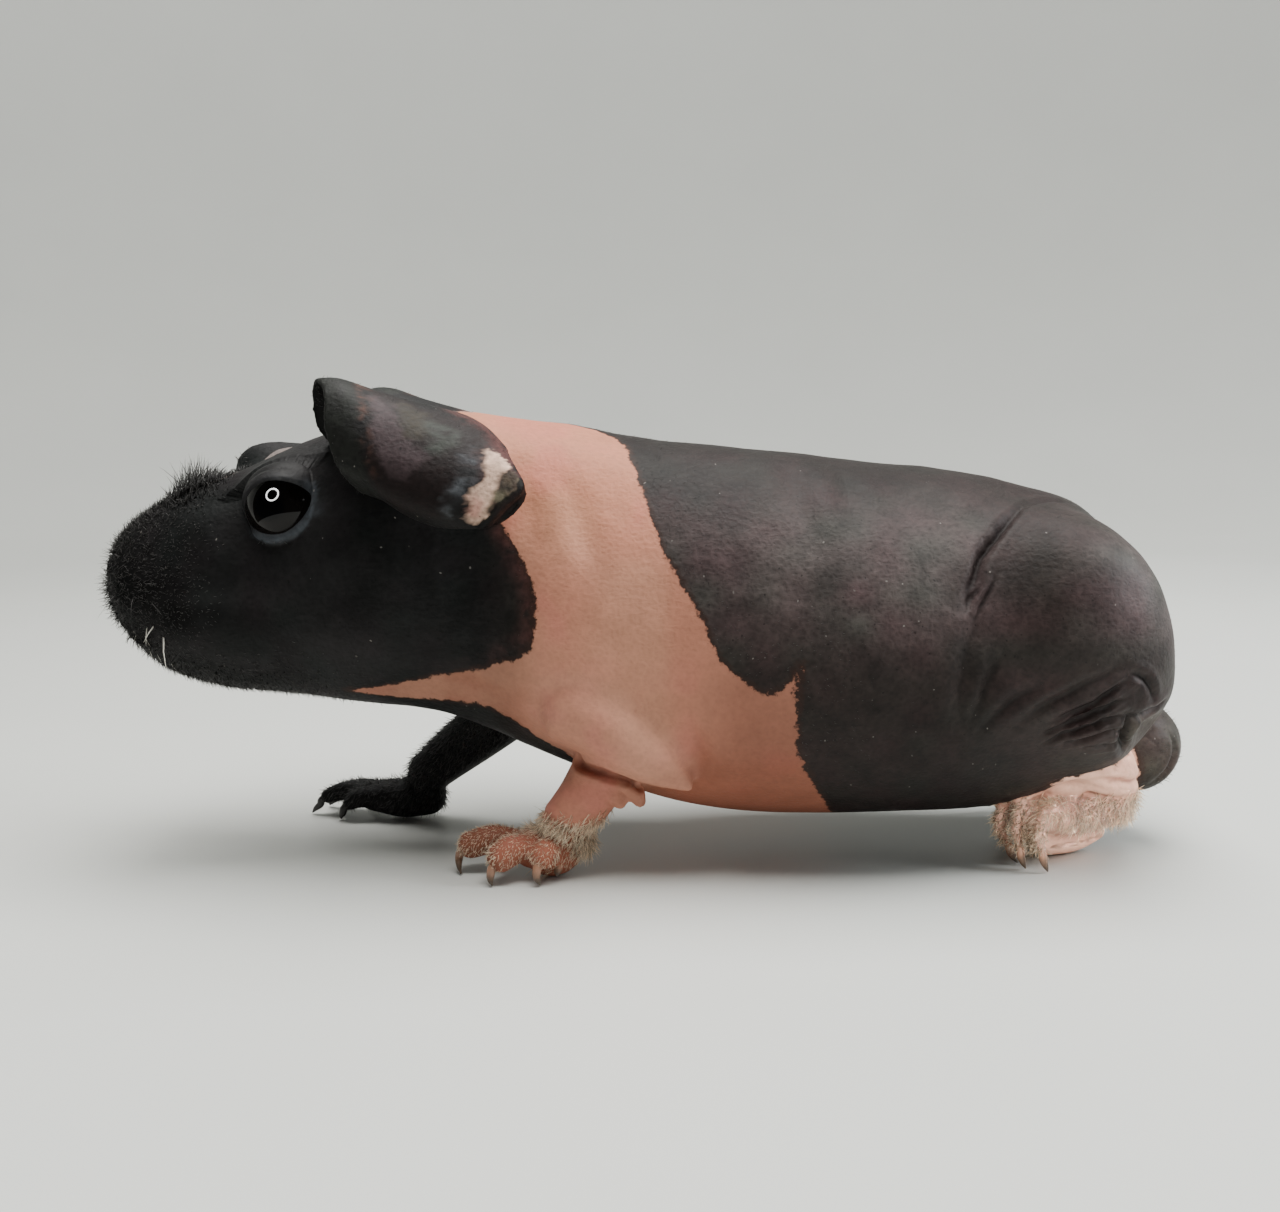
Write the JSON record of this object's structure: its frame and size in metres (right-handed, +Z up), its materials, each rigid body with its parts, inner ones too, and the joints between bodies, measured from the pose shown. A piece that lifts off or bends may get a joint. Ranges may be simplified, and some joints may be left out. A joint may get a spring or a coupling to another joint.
{
  "type": "hairless guinea pig",
  "caption": "Hairless guinea pig, life size, stretched forward on four feet with drooping ears, black and pink skin and a fuzzy muzzle.",
  "frame": {"origin": "middle of the animal's bounding box, on the floor it stands on", "axes": "+Z up, -X towards the nose, -Y towards the animal's left side"},
  "size_m": [0.2316, 0.0764, 0.102],
  "materials": {
    "skin_dark": "dark brown-grey bare skin, soft sheen, fine pores",
    "skin_pink": "pink bare skin, matt with a soft sheen",
    "eye": "wet, black, mirror gloss",
    "claw_pale": "horn, satin, darker at the tip",
    "claw_dark": "dark horn, satin"
  },
  "bodies": {
    "root": {"head": "skin_dark", "neck": "skin_pink", "trunk": "skin_dark", "left_ear": "skin_dark", "right_ear": "skin_dark", "left_eye": "eye", "right_eye": "eye", "left_fore_leg": "skin_pink", "left_fore_paw": "skin_pink", "left_fore_claw_1": "claw_pale", "left_fore_claw_2": "claw_pale", "left_fore_claw_3": "claw_pale", "left_fore_claw_4": "claw_pale", "right_fore_leg": "skin_dark", "right_fore_paw": "skin_dark", "right_fore_claw_1": "claw_dark", "right_fore_claw_2": "claw_dark", "right_fore_claw_3": "claw_dark", "right_fore_claw_4": "claw_dark", "left_hind_leg": "skin_dark", "left_hind_foot": "skin_pink", "left_hind_claw_1": "claw_pale", "left_hind_claw_2": "claw_pale", "left_hind_claw_3": "claw_pale", "right_hind_leg": "skin_dark", "right_hind_foot": "skin_dark", "right_hind_claw_1": "claw_dark", "right_hind_claw_2": "claw_dark", "right_hind_claw_3": "claw_dark"}
  },
  "joints": []
}
